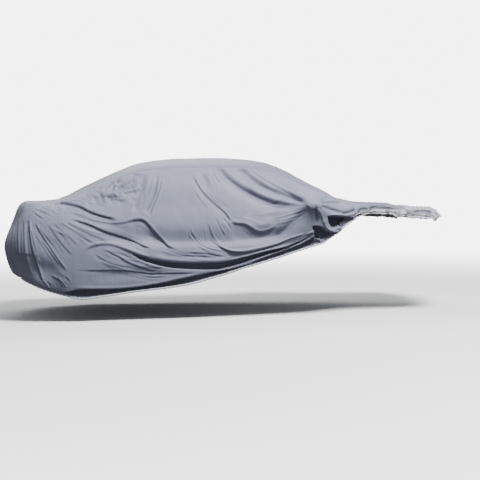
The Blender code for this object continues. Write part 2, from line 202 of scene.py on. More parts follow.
mainFolds = unpacked(foldUnits, [
    ("below rear window", (17, 7, 11, 48, 85, 5, 15), (-1420, 1064, -1320, 1050, -1240, 1030, -1170, 1010,
        -1080, 960, -1000, 930, -910, 905, -840, 888)),
    ("quarter 1", (8, 5, 10, 45, 15, 20, 8), (-1290, 970, -1210, 950, -1120, 920, -1074, 894, -979, 870,
        -884, 855, -788, 860, -692, 882)),
    ("pocket", (18, 8, 11, 100, 22, 12, 25), (-760, 868, -690, 884, -640, 887, -605, 872, -567, 832,
        -511, 763, -459, 710, -420, 660, -370, 630, -310, 620)),
    ("quarter 2", (13, 7, 9, 45, 55, 15, 12), (-1270, 915, -1170, 880, -1080, 850, -1000, 810, -910, 775,
        -820, 750, -740, 720, -660, 680, -610, 650, -540, 635)),
    ("quarter 3", (4, 4, 8, 30, 4, 8, 20), (-1276, 877, -1161, 804, -1010, 738, -916, 702)),
    ("quarter 4", (3, 4, 8, 26, 4, 8, 20), (-1334, 873, -1238, 805, -1125, 736, -1041, 681)),
    ("quarter 5", (3, 3, 8, 26, 3, 8, 20), (-1391, 865, -1315, 796, -1239, 728, -1184, 660)),
    ("quarter 6", (3, 3, 9, 28, 3, 8, 20), (-1440, 856, -1396, 788, -1344, 711, -1279, 633, -1224, 574)),
    ("corner, long", (5, 6, 8, 30, 15, 6, 15), (-1555, 876, -1516, 799, -1467, 727, -1421, 650,
        -1374, 577, -1320, 499, -1283, 440)),
    ("corner, short", (3, 3, 8, 22, 6, 15, 25), (-1520, 840, -1480, 780, -1430, 720, -1380, 660)),
    ("corner, steep", (9, 10, 9, 30, 40, 8, 5), (-1612, 901, -1605, 829, -1598, 733, -1579, 638,
        -1556, 541, -1532, 453, -1506, 369)),
    ("corner, second steep", (5, 6, 9, 22, 8, 10, 10), (-1663, 910, -1656, 800, -1652, 685, -1646, 579,
        -1634, 491, -1602, 407)),
    ("tail, steep", (4, 5, 8, 18, 12, 10, 20), (-1720, 920, -1715, 780, -1710, 690, -1700, 580,
        -1675, 470)),
    ("tail, last", (3, 4, 8, 16, 10, 10, 20), (-1770, 880, -1770, 760, -1770, 620, -1740, 500)),
    ("bumper edge", (7, 1, 14, 60, 12, 5, 25), (-1920, 600, -1816, 595, -1723, 595, -1616, 592,
        -1500, 575)),
    ("arch edge", (9, 9, 16, 90, 2, 20, 5), (-1120, 600, -1080, 645, -1020, 667, -960, 672, -900, 668,
        -828, 645, -748, 611, -658, 574, -560, 543)),
    ("below the arch", (5, 5, 9, 28, 8, 15, 20), (-990, 640, -880, 590, -820, 560, -770, 520, -690, 490,
        -620, 460, -550, 440, -450, 425)),
    ("below the arch 2", (3, 3, 8, 20, 4, 20, 25), (-1060, 610, -980, 550, -900, 510, -800, 480,
        -700, 465)),
    ("low crease", (5, 4, 6, 18, 55, 12, 20), (-1240, 460, -1070, 452, -960, 450, -840, 448, -740, 440,
        -660, 425, -580, 413, -510, 410, -430, 412, -340, 415, -200, 410, -60, 412)),
    ("low crease 2", (4, 3, 7, 14, 35, 30, 30), (-680, 394, -570, 380, -500, 380, -400, 390)),
    ("rear door, long", (7, 5, 8, 24, 45, 15, 6), (-179, 1284, -142, 1213, -96, 1133, -40, 1067, 18, 1012,
        74, 963, 127, 908, 144, 859)),
    ("rear door, soft", (8, 0, 26, 34, 5, 40, 40), (-127, 1325, -80, 1263, -45, 1182, -20, 1120)),
    ("rear door, third", (5, 2, 12, 22, 20, 35, 35), (-10, 1330, 20, 1280, 47, 1231, 94, 1160)),
    ("roof to mirror 1", (22, 11, 24, 60, 12, 12, 15), (50, 1380, 72, 1354, 110, 1280, 185, 1209,
        271, 1145, 366, 1091, 463, 1043, 568, 1009, 683, 995, 837, 997)),
    ("roof to mirror 2", (30, 7, 26, 34, 22, 12, 10), (230, 1375, 261, 1358, 322, 1289, 376, 1227,
        451, 1173, 547, 1129, 641, 1090, 732, 1049, 823, 1008)),
    ("roof to mirror 3", (8, 5, 11, 22, 22, 20, 20), (300, 1350, 402, 1278, 477, 1221, 581, 1163,
        692, 1101, 786, 1040)),
    ("roof to mirror 4", (4, 3, 12, 22, 15, 35, 35), (414, 1342, 526, 1267, 655, 1178, 759, 1100)),
    ("fan 1", (2, 2, 10, 20, 5, 40, 20), (360, 965, 480, 970, 600, 980, 720, 990, 830, 995)),
    ("fan 2", (3, 2, 10, 22, 6, 40, 20), (300, 915, 440, 900, 600, 910, 740, 950, 830, 980)),
    ("fan 3", (2, 2, 10, 20, 5, 40, 20), (430, 860, 540, 870, 660, 900, 760, 935, 840, 970)),
    ("slack", (10, 9, 12, 75, 15, 12, 20), (130, 845, 217, 835, 280, 824, 333, 791, 390, 761, 448, 762,
        518, 785, 568, 816)),
    ("mirror to door", (20, 4, 40, 55, 8, 30, 5), (468, 685, 546, 721, 625, 778, 705, 846, 783, 908,
        851, 971)),
    ("below mirror", (18, 3, 10, 18, 55, 8, 55), (882, 965, 890, 945, 902, 925, 911, 887, 913, 843,
        910, 812)),
    ("mirror to bonnet 1", (6, 4, 7, 14, 70, 10, 30), (943, 1015, 1020, 1014, 1102, 1014, 1196, 1008)),
    ("mirror to bonnet 2", (12, 5, 14, 30, 35, 10, 20), (943, 991, 1000, 970, 1054, 951, 1116, 932,
        1166, 916)),
    ("mirror to windscreen", (5, 3, 10, 14, 30, 20, 30), (930, 1030, 980, 1040, 1010, 1050, 1060, 1085)),
    ("swirl 1", (3, 6, 7, 16, 10, 15, 25), (-209, 811, -195, 762, -158, 713, -110, 664, -72, 624)),
    ("swirl 2", (3, 7, 7, 18, 6, 15, 25), (-56, 857, -34, 798, -16, 740, 27, 681, 75, 641)),
    ("swirl 3", (4, 5, 7, 16, 12, 20, 25), (18, 895, 41, 846, 69, 787, 106, 728)),
    ("swirl 4", (4, 6, 8, 18, 12, 15, 25), (82, 894, 115, 864, 138, 825, 157, 795)),
    ("swirl 5", (3, 4, 7, 14, 8, 20, 25), (-196, 724, -139, 674, -71, 634, 16, 608, 114, 591)),
    ("low dark line", (6, 9, 8, 30, 25, 30, 15), (-44, 769, -22, 701, 36, 646, 104, 608, 183, 591,
        291, 587, 369, 599, 448, 621, 576, 656, 705, 693)),
    ("low streak 1", (4, 4, 9, 16, 15, 30, 30), (-257, 593, -140, 586, -13, 570, 113, 548)),
    ("low streak 2", (4, 4, 9, 16, 15, 30, 30), (-400, 600, -258, 565, -111, 556, 34, 540)),
    ("quarter light 1", (10, 3, 26, 36, 4, 25, 15), (-585, 1295, -611, 1224, -641, 1145, -666, 1047,
        -687, 950)),
    ("quarter light 2", (8, 4, 11, 22, 40, 20, 8), (-479, 1299, -493, 1213, -519, 1114, -555, 1026,
        -590, 943)),
    ("quarter light 3", (7, 4, 10, 20, 40, 25, 5), (-447, 1262, -469, 1163, -500, 1074, -536, 996,
        -561, 923)),
    ("quarter light 4", (4, 2, 14, 20, 10, 40, 40), (-520, 1300, -540, 1210, -570, 1130, -610, 1060,
        -640, 980)),
    ("rear pillar 1", (11, 5, 20, 50, 25, 25, 30), (-846, 1138, -832, 1168, -778, 1202, -719, 1226,
        -675, 1261)),
    ("rear pillar 2", (9, 5, 18, 45, 25, 25, 30), (-1080, 1082, -1041, 1087, -963, 1096, -885, 1094,
        -836, 1084)),
    ("rear pillar 3", (9, 5, 14, 34, 35, 25, 30), (-910, 1076, -885, 1070, -827, 1054, -754, 1040)),
    ("rear pillar 4", (8, 4, 14, 34, 25, 25, 30), (-1120, 1030, -1078, 1033, -1011, 1032, -923, 1004)),
    ("rear pillar 5", (7, 4, 14, 30, 20, 25, 30), (-1060, 1058, -992, 1062, -933, 1041)),
    ("rear pillar 6", (8, 5, 10, 18, 35, 25, 30), (-808, 1324, -820, 1280, -833, 1228, -852, 1198)),
    ("rear pillar 7", (7, 5, 10, 18, 30, 25, 30), (-882, 1283, -854, 1249, -828, 1239)),
    ("rear pillar 8", (7, 4, 10, 18, 30, 25, 30), (-740, 1300, -690, 1292, -650, 1281, -610, 1296)),
    ("rear pillar 9", (8, 5, 10, 20, 30, 25, 30), (-807, 1123, -758, 1117, -690, 1136, -631, 1165)),
    ("rear pillar 10", (7, 5, 10, 18, 25, 25, 30), (-980, 1150, -940, 1180, -900, 1220, -880, 1260)),
    ("rear pillar hollow", (12, 0, 30, 40, 10, 35, 35), (-1140, 1045, -1050, 1060, -970, 1070,
        -840, 1065)),
    ("boot line", (6, 4, 6, 12, 60, 20, 10), (-1504, 1055, -1455, 1058, -1392, 1057, -1324, 1050)),
    ("boot corner 1", (2, 2.5, 6, 11, 5, 10, 20), (-1600, 985, -1550, 955, -1500, 925, -1430, 875)),
    ("boot corner 2", (2, 2.5, 6, 11, 5, 10, 20), (-1570, 1005, -1520, 975, -1460, 950, -1380, 915)),
    ("boot corner 3", (2, 2.5, 6, 11, 5, 10, 20), (-1520, 1015, -1460, 990, -1420, 975, -1340, 935)),
    ("boot corner 4", (2, 2.5, 6, 11, 5, 10, 20), (-1530, 970, -1480, 940, -1410, 885)),
    ("boot corner 5", (2, 2.5, 6, 11, 5, 10, 20), (-1450, 1020, -1390, 1000, -1330, 965)),
    ("low corner 1", (4, 6, 6, 13, 30, 20, 20), (-1429, 408, -1381, 393, -1344, 353, -1313, 294)),
    ("low corner 2", (4, 5, 6, 12, 25, 20, 20), (-1380, 407, -1325, 353, -1296, 303)),
    ("low corner 3", (3, 4, 6, 12, 25, 15, 10), (-1506, 375, -1471, 334, -1445, 299)),
])
# where two layers of the bunch meet, and the valleys in it, with painted shadow along them
bunchFolds = unpacked(foldUnits, [
    ("slit 1", (12, 4, 36, 45, 96, 4, 4), (1150, 912, 1179, 920, 1217, 927, 1250, 940, 1290, 955)),
    ("slit 2", (12, 3, 36, 45, 97, 4, 4), (1262, 904, 1300, 914, 1318, 932, 1336, 952, 1372, 961,
        1430, 958)),
    ("slit 3", (8, 2, 32, 30, 96, 2, 10), (1345, 924, 1393, 937, 1450, 945)),
    ("slit 4", (12, 3, 38, 50, 98, 4, 20), (1430, 958, 1466, 966, 1500, 970, 1545, 963, 1600, 958,
        1687, 957, 1760, 952, 1830, 944)),
    ("valley 1", (16, 4, 26, 30, 84, 10, 10), (1728, 935, 1740, 912, 1757, 885)),
    ("valley 2", (22, 4, 34, 40, 93, 6, 5), (1765, 882, 1797, 897, 1861, 893, 1919, 886, 1975, 876,
        2030, 882)),
    ("valley 3", (18, 4, 30, 30, 92, 10, 10), (1862, 921, 1905, 919, 1951, 922, 1995, 919, 2050, 908)),
    ("valley 4", (12, 3, 24, 30, 84, 15, 15), (1800, 934, 1840, 928, 1880, 912)),
    ("valley 5", (12, 3, 30, 30, 94, 10, 10), (1585, 922, 1628, 920, 1670, 912, 1720, 903)),
])
# hollows with an edge of their own, and shade painted in them: depth and soft edge in millimetres, painted
# shade in hundredths, outline
pressedIn = unpacked((1000, 1000, 100), [
    ("undercut", (42, 13, 52), (-720, 592, -658, 574, -545, 540, -454, 521, -317, 506, -145, 499, 29, 497,
        133, 511, 262, 546, 358, 566, 450, 586, 550, 608, 650, 632, 760, 672, 850, 712, 750, 655,
        640, 612, 550, 584, 450, 554, 356, 522, 237, 482, 133, 453, 28, 437, -88, 437, -203, 443,
        -318, 453, -432, 470, -523, 494, -602, 520, -660, 550)),
    ("hem band", (26, 8, 85), (-1320, 262, -1260, 272, -1190, 290, -1119, 290, -892, 287, -779, 290,
        -664, 299, -549, 314, -434, 335, -319, 358, -203, 381, -87, 403, 60, 428, 200, 458, 320, 480,
        320, 420, 60, 340, -200, 260, -600, 200, -1100, 180, -1300, 200)),
    ("door hem band", (20, 7, 86), (340, 500, 400, 525, 490, 556, 634, 603, 761, 645, 850, 690, 899, 718,
        935, 700, 950, 600, 765, 540, 586, 480, 400, 440, 340, 460)),
    ("under the slack", (9, 50, 14), (160, 835, 280, 818, 333, 785, 390, 752, 448, 752, 500, 765,
        460, 700, 380, 670, 250, 670, 160, 720, 140, 780)),
    ("under upper line", (2, 30, 60), (480, 632, 581, 662, 670, 692, 760, 720, 850, 745, 885, 752,
        890, 720, 850, 705, 750, 672, 642, 640, 535, 620)),
    ("in the pocket", (8, 50, 20), (-900, 845, -800, 850, -700, 865, -620, 850, -560, 790, -520, 740,
        -600, 720, -720, 760, -820, 790)),
    ("wing opening", (55, 10, 88), (1008, 892, 1067, 897, 1147, 891, 1218, 880, 1261, 873, 1270, 880,
        1262, 860, 1250, 810, 1228, 780, 1150, 781, 1121, 799, 1081, 782, 1047, 790, 1020, 829)),
    ("wing opening end", (10, 8, 88), (1255, 872, 1290, 894, 1330, 912, 1322, 893, 1290, 868, 1262, 850)),
    ("below the loop", (34, 9, 86), (874, 806, 904, 810, 949, 803, 977, 778, 1004, 756, 1051, 742,
        1098, 741, 1135, 750, 1091, 715, 1033, 690, 960, 672, 941, 684, 898, 700, 885, 730, 890, 752,
        874, 780)),
])
# ridges: height and width, route. The creases catch the light.
ridges = unpacked(1000, [
    ("loop", (14, 7.5), (995, 887, 981, 843, 989, 807, 1015, 779, 1058, 760, 1106, 756, 1133, 770,
        1153, 788)),
    ("lick", (7, 7), (811, 727, 849, 752, 885, 758, 874, 777)),
    ("wing lip", (12, 12), (1000, 912, 1100, 902, 1170, 900, 1240, 905, 1300, 925)),
    ("mirror fall", (8, 10), (907, 969, 931, 937, 953, 899, 968, 861, 975, 817)),
    ("knob", (12, 30), (890, 990, 915, 995)),
    ("sheet", (12, 45), (300, 1200, 420, 1110, 560, 1050, 720, 1015)),
    ("fan end", (8, 30), (240, 900, 340, 830, 440, 820, 560, 860)),
    ("upper line", (9, 8), (100, 612, 139, 610, 227, 606, 316, 615, 404, 630, 493, 650, 581, 675,
        670, 705, 760, 732, 831, 750)),
    ("lower line", (10, 9), (100, 512, 181, 533, 269, 553, 358, 573, 446, 595, 535, 616, 642, 637,
        750, 672)),
    ("under lip", (12, 22), (-620, 590, -450, 545, -300, 527, -100, 520, 60, 520, 200, 548)),
    ("foil 1", (20, 10), (1734, 886, 1775, 902, 1824, 914, 1879, 909, 1935, 897)),
    ("foil 2", (16, 10), (1840, 938, 1907, 925, 1985, 927, 2062, 931)),
    ("foil 3", (16, 10), (1939, 891, 1993, 898, 2065, 908)),
    ("foil 4", (12, 22), (1600, 925, 1650, 915, 1710, 910)),
    ("swirl crease 1", (4.5, 7), (-229, 773, -186, 716, -143, 666, -100, 636, -63, 623)),
    ("swirl crease 2", (5.5, 7), (-22, 751, 20, 688, 63, 649, 126, 617, 202, 600, 303, 607, 417, 636,
        518, 666)),
    ("swirl crease 3", (3.5, 6), (-173, 735, -125, 672, -75, 633)),
    ("pocket crease", (4, 7), (-462, 622, -401, 596, -339, 576, -239, 567)),
    ("knot crease", (4, 7), (76, 875, 118, 817, 144, 767, 102, 693)),
    ("corner crease 1", (5, 9), (-1606, 879, -1569, 771, -1538, 599, -1511, 500)),
    ("corner crease 2", (5, 10), (-1495, 738, -1443, 662, -1379, 575, -1328, 498)),
    ("quarter crease 1", (4.5, 9), (-1236, 885, -1150, 835, -1054, 794, -969, 771)),
    ("quarter crease 2", (3.5, 8), (-1420, 845, -1355, 801, -1269, 767)),
    ("arch crease 1", (3.5, 8), (-822, 569, -725, 543, -628, 533)),
    ("arch crease 2", (3.5, 8), (-1027, 546, -931, 512, -824, 475, -716, 442)),
    ("hem lip", (6, 12), (-1250, 310, -1100, 303, -850, 300, -600, 318, -400, 355, -200, 395, -50, 424)),
])
# broad hollows: depth, half width above and below, route
billows = unpacked(1000, [
    ("below the shoulder", (30, 80, 55), (-1200, 720, -800, 730, -400, 710, 100, 700, 500, 720,
        800, 800)),
    ("above the hem", (12, 55, 50), (-1100, 410, -850, 410, -600, 415, -300, 430)),
    ("below the bumper", (24, 85, 120), (-1950, 490, -1750, 490, -1600, 480, -1450, 460, -1300, 450)),
])


def nearestOn(points, route):
    # signed distance from points (n, 2) to a route, positive on its left, and the share along it
    route = np.array(route, float)
    fine = glide(route, np.linspace(0, len(route) - 1, 6 * (len(route) - 1) + 1))
    for _ in range(8):
        fine[1:-1] = (fine[:-2] + 2 * fine[1:-1] + fine[2:]) / 4
    best = np.full(len(points), 1e9)
    where = np.zeros(len(points))
    side = np.ones(len(points))
    for i, (a, b) in enumerate(zip(fine[:-1], fine[1:])):
        run = b - a
        off = points - a
        t = np.clip((off @ run) / (run @ run), 0, 1)
        gap = np.linalg.norm(off - t[:, None] * run, axis=1)
        nearer = gap < best
        best = np.where(nearer, gap, best)
        where = np.where(nearer, (i + t) / (len(fine) - 1), where)
        side = np.where(nearer, np.sign(run[0] * off[:, 1] - run[1] * off[:, 0] + 1e-12), side)
    return best * side, where


def closeTo(seen, route, reach):
    # which points lie in the route's box, widened by the reach
    low, high = np.min(route, axis=0) - reach, np.max(route, axis=0) + reach
    return np.all((seen > low) & (seen < high), axis=-1)


def ease(share, length):
    # a soft step from 0 to 1
    t = np.clip(share / max(length, 1e-6), 0, 1)
    return t * t * (3 - 2 * t)


# fine creases beside the folds; their shade is painted shade along them
fineFolds = {"perFold": 3, "distance": (0.014, 0.060), "depth": 0.0018, "lip": 0.0020,
             "sides": (0.008, 0.014), "shade": 0.2, "fades": (0.35, 0.35), "points": 6, "waver": 0.002,
             "seed": 17}


def fineCreases(folds):
    # a few fine creases beside each fold, roughly along it
    rng = np.random.default_rng(fineFolds["seed"])
    made, count = [], fineFolds["points"]
    for fold in folds:
        route = fold[-1]
        for _ in range(fineFolds["perFold"]):
            start = rng.uniform(0, 0.45)
            places = np.linspace(start, min(1, start + rng.uniform(0.35, 0.75)), count) * (len(route) - 1)
            line = glide(route, places)
            run = np.gradient(line, axis=0)
            aside = np.stack([-run[:, 1], run[:, 0]], 1) / (np.linalg.norm(run, axis=1, keepdims=True) + 1e-9)
            off = rng.choice([-1, 1]) * rng.uniform(*fineFolds["distance"])
            fan = np.linspace(rng.uniform(0.6, 1), rng.uniform(0.8, 1.5), count)[:, None]
            line = line + aside * off * fan
            line = line + rng.normal(0, fineFolds["waver"], line.shape)
            size = rng.uniform(0.5, 1.2)
            made.append(("fine", size * fineFolds["depth"], size * fineFolds["lip"], *fineFolds["sides"],
                         fineFolds["shade"] * size, *fineFolds["fades"], line))
    return made


# the cross-section of a fold and its painted shade line, in shares of its left half width, apart from the
# last
creaseForm = {"swellOut": 1.4, "swellWidth": 0.9, "droopOut": 1.2, "droopShare": 0.4, "lineIn": 0.2,
              "lineShare": 0.3, "lineWidth": 0.0035}


def pressFolds(seen, folds):
    # how far the folds press each point in, how far their lips droop over the hollow, and how dark the shade
    # painted there is
    pressIn, droop, dark = np.zeros((3,) + seen.shape[:2])
    for _, depth, lip, left, right, shade, fadeIn, fadeOut, route in folds:
        near = closeTo(seen, route, 3.0 * max(left, right))
        gap, where = nearestOn(seen[near], route)
        u = np.abs(gap) / np.where(gap > 0, left, right)
        taper = ease(where, fadeIn) * ease(1 - where, fadeOut)
        swell = np.exp(-((gap - creaseForm["swellOut"] * left) / (creaseForm["swellWidth"] * left)) ** 2)
        pressIn[near] += taper * (depth * np.exp(-(u * u + 0.02) ** 0.8) - lip * swell)
        fall = np.exp(-((gap - creaseForm["droopOut"] * left) / left) ** 2)
        droop[near] += taper * lip * creaseForm["droopShare"] * fall
        # a painted dark line of shade along the crease
        halfLine = creaseForm["lineShare"] * left + creaseForm["lineWidth"]
        line = np.exp(-((gap - creaseForm["lineIn"] * left) / halfLine) ** 2)
        dark[near] = np.maximum(dark[near], shade * taper * line)
    return pressIn, droop, dark


def pressOutlines(seen, pressIn, dark):
    # presses the inside of each outline in, with a soft edge, and paints shade there
    for _, depth, soft, shade, corners in pressedIn:
        near = closeTo(seen, corners, 2 * soft)
        p = seen[near]
        inside = np.zeros(len(p), bool)
        gap = np.full(len(p), 1e9)
        for a, b in zip(corners, np.roll(corners, -1, axis=0)):
            run, off = b - a, p - a
            t = np.clip((off @ run) / (run @ run), 0, 1)
            gap = np.minimum(gap, np.linalg.norm(off - t[:, None] * run, axis=1))
            crosses = (a[1] > p[:, 1]) != (b[1] > p[:, 1])
            inside ^= crosses & (p[:, 0] < a[0] + (p[:, 1] - a[1]) * run[0] / (run[1] + 1e-12))
        share = ease(np.where(inside, gap, -gap) + 0.5 * soft, 1.5 * soft)
        pressIn[near] += depth * share
        dark[near] = np.maximum(dark[near], shade * share)


def raiseRidges(seen, pressIn):
    for _, height, width, route in ridges:
        near = closeTo(seen, route, 3 * width)
        gap, where = nearestOn(seen[near], route)
        pressIn[near] -= height * np.exp(-(gap / width) ** 2) * ease(where, 0.2) * ease(1 - where, 0.2)


def pressBillows(seen, pressIn):
    for _, depth, above, below, route in billows:
        gap, where = nearestOn(seen.reshape(-1, 2), route)
        u = gap / np.where(gap > 0, above, below)
        share = np.exp(-u * u) * ease(where, 0.25) * ease(1 - where, 0.25)
        pressIn += depth * share.reshape(pressIn.shape)


def lumps(points, size, seed):
    # smooth noise from -1 to 1, with lumps of the given size in metres
    shifted = points / size + np.array([seed * 7.3, seed * 3.1, seed * 5.7])
    return np.array([noise.fractal(Vector(p), 0.9, 2.1, 2) for p in shifted.reshape(-1, 3)]).reshape(
        points.shape[:-1])


def crumples(points, size, seed):
    # sharp ridges between rounded hollows, about 0 on the whole, as in crushed cloth
    shifted = points / size + np.array([seed * 5.1, seed * 2.3, seed * 4.9])
    ridged = [1 - abs(2 * noise.noise(Vector(p))) for p in shifted.reshape(-1, 3)]
    return np.array(ridged).reshape(points.shape[:-1]) - 0.45


# unevenness in layers: stretch of the cloth, size in metres, seed, height
even = (1, 1, 1)
unevenness = {
    "near lumps": ((even, 0.33, 1, 0.006), ((1, 1, 0.45), 0.11, 2, 0.0022)),
    "near bunch": (((0.6, 1, 1.8), 0.075, 5, 0.014), ((0.8, 1, 1.4), 0.035, 6, 0.008)),
    "rear pillar": ((even, 0.060, 21, 0.012), (even, 0.030, 22, 0.005)),
    "far lumps": ((even, 0.33, 9, 0.007), (even, 0.12, 10, 0.002)),
    "far bunch": (((0.8, 1, 1.6), 0.075, 8, 0.012),),
    "top lumps": ((even, 0.36, 13, 0.004), (even, 0.12, 14, 0.0014)),
    "top bunch": (((1.5, 0.8, 1), 0.085, 11, 0.017), (even, 0.045, 12, 0.010)),
}
# where a start and a length stand together, the effect grows from 0 to 1 over that length
bunch = {"side": (1.36, 0.25), "top": (1.44, 0.4), "low": (0.80, 0.05)}    # x on the sides and the top; h
pillar = {"x": -0.86, "h": 1.15, "halfLength": 0.23, "halfHeight": 0.11}    # the crumpled patch
hemFades = {"near": ((1.18, 1.34), (0.016, 0.006)), "far": 0.03}    # near: at two x, closer at the bunch
# fades at the sewn edges and the tail; dark is the same for the painted crease shade
edges = {"near": (0.03, 0.05), "dark": (0.012, 0.05), "far": (0.05, 0.10), "top": (0.05, 0.04)}


def uneven(kind, points, name):
    # the layers of that name, as lumps or crumples, added up
    return sum(kind(points * np.array(stretch), size, seed) * height
               for stretch, size, seed, height in unevenness[name])


def aboveHem(grid):
    run = runLength(grid, 1)
    return run[:, -1:] - run


gathers = {"height": 0.0032, "pitch": 0.034, "second": 1.63, "reach": 0.055, "drift": 0.25, "patches": 0.09,
           "seed": 3, "bunchStart": (1.2, 0.2), "bunchCut": 0.85}


def hemGathers(grid):
    # the pleats that the elastic draws into the cloth above the hem
    run = runLength(grid[:, -1], 0)[:, None]
    drift = lumps(grid[:, -1], gathers["drift"], gathers["seed"])[:, None]
    strength = 0.65 + 0.5 * lumps(grid[:, -1], gathers["patches"], gathers["seed"] + 1)[:, None]
    turns = 2 * np.pi * run / gathers["pitch"]
    wave = np.sin(turns + 5 * drift) + 0.5 * np.sin(turns * gathers["second"] + 8 * drift + 1)
    return gathers["height"] * strength * wave * np.exp(-(aboveHem(grid) / gathers["reach"]) ** 1.5)


def edgeFade(grid, seam, tail):
    # 0 at the sewn edges, 1 inside
    fade = np.clip(np.linalg.norm(grid - grid[:, :1], axis=-1) / seam, 0, 1)
    return ease(fade, 1) * ease(np.clip(np.linalg.norm(grid - grid[-1:], axis=-1) / tail, 0, 1), 1)


def paintedFoldShading(pressIn):
    # how far a point lies below its neighbours, for painted shade in the folds and painted highlight where
    # the cloth stands out
    soft = pressIn.copy()
    for _ in range(12):
        padded = np.pad(soft, 1, mode="edge")
        soft = (padded[:-2, 1:-1] + padded[2:, 1:-1] + padded[1:-1, :-2] + padded[1:-1, 2:] + 4 * soft) / 8
    return np.clip((pressIn - soft) / 0.006, -1, 1) * 0.35


def grown(values, start, length):
    # 0 up to the start, 1 from that length on
    return ease(values - start, length)


def seenFlat(grid):
    # x, h as the routes count them
    return grid[..., [0, 2]] + np.array([0, roofHeight])


seen = seenFlat(nearSide)
pressIn, droop, dark = pressFolds(seen, mainFolds + bunchFolds + fineCreases(mainFolds))
pressBillows(seen, pressIn)
pressOutlines(seen, pressIn, dark)
raiseRidges(seen, pressIn)
inside = edgeFade(nearSide, *edges["near"])
hemStart = np.clip(aboveHem(nearSide) / np.interp(seen[..., 0], *hemFades["near"]), 0, 1)
bunched = grown(seen[..., 0], *bunch["side"]) * grown(seen[..., 1], *bunch["low"])
onPillar = np.exp(-((seen[..., 0] - pillar["x"]) / pillar["halfLength"]) ** 2
                  - ((seen[..., 1] - pillar["h"]) / pillar["halfHeight"]) ** 2)
roughness = (uneven(lumps, nearSide, "near lumps") + bunched * uneven(crumples, nearSide, "near bunch")
             + onPillar * uneven(crumples, nearSide, "rear pillar"))
pressIn = pressIn * inside * hemStart - roughness * inside
pressIn -= hemGathers(nearSide) * (1 - gathers["bunchCut"] * grown(seen[..., 0], *gathers["bunchStart"]))
nearSide = nearSide - normalsOf(nearSide) * pressIn[..., None]
nearSide[..., 2] -= droop * inside * hemStart
# painted shade in the hollows and along the creases and outlines, painted highlight where the cloth stands
# out
nearPaintedShading = np.maximum(paintedFoldShading(pressIn), dark * hemStart * edgeFade(nearSide, *edges["dark"]))
print("near side folded: pressed in", round(float(pressIn.max()), 3), "out", round(float(-pressIn.min()), 3))

# the far side and the top, which hang more plainly
farFolds = unpacked(foldUnits, [
    ("far quarter 1", (13, 6, 14, 52, 30, 20, 20), (-1400, 1040, -1200, 1000, -980, 920, -750, 880)),
    ("far quarter 2", (13, 5, 13, 52, 30, 25, 25), (-1300, 920, -1050, 830, -800, 720, -550, 630)),
    ("far quarter 3", (9, 5, 13, 44, 30, 30, 35), (-1360, 850, -1180, 750, -1020, 660)),
    ("far corner", (13, 7, 11, 39, 30, 25, 20), (-1620, 920, -1580, 720, -1540, 520, -1480, 380)),
    ("far corner 2", (11, 6, 11, 36, 30, 25, 25), (-1520, 840, -1420, 660, -1320, 480)),
    ("far undercut", (20, 11, 15, 52, 30, 25, 20), (-750, 560, -400, 500, 0, 500, 400, 570, 750, 680)),
    ("far low crease", (9, 5, 8, 31, 30, 25, 25), (-1200, 450, -800, 440, -400, 410, 0, 440)),
    ("far roof 1", (18, 7, 17, 57, 30, 22, 25), (50, 1360, 200, 1200, 420, 1070, 660, 1000, 820, 990)),
    ("far roof 2", (13, 5, 36, 17, 30, 22, 20), (280, 1340, 450, 1190, 640, 1090, 840, 1015)),
    ("far rear door", (9, 5, 11, 29, 30, 25, 20), (-200, 1280, -100, 1120, 40, 970, 160, 860)),
    ("far mirror 1", (14, 6, 17, 57, 30, 30, 12), (420, 700, 600, 760, 740, 870, 860, 970)),
    ("far mirror 2", (14, 5, 17, 36, 30, 20, 30), (900, 950, 905, 860, 930, 770)),
    ("far quarter light", (9, 5, 10, 23, 30, 30, 20), (-460, 1290, -500, 1120, -580, 950)),
    ("far wing", (13, 6, 10, 26, 30, 20, 20), (1040, 930, 1180, 930, 1320, 955, 1500, 955)),
    ("far bunch", (9, 6, 7, 18, 30, 15, 20), (1460, 955, 1650, 945, 1840, 930, 2000, 915)),
])
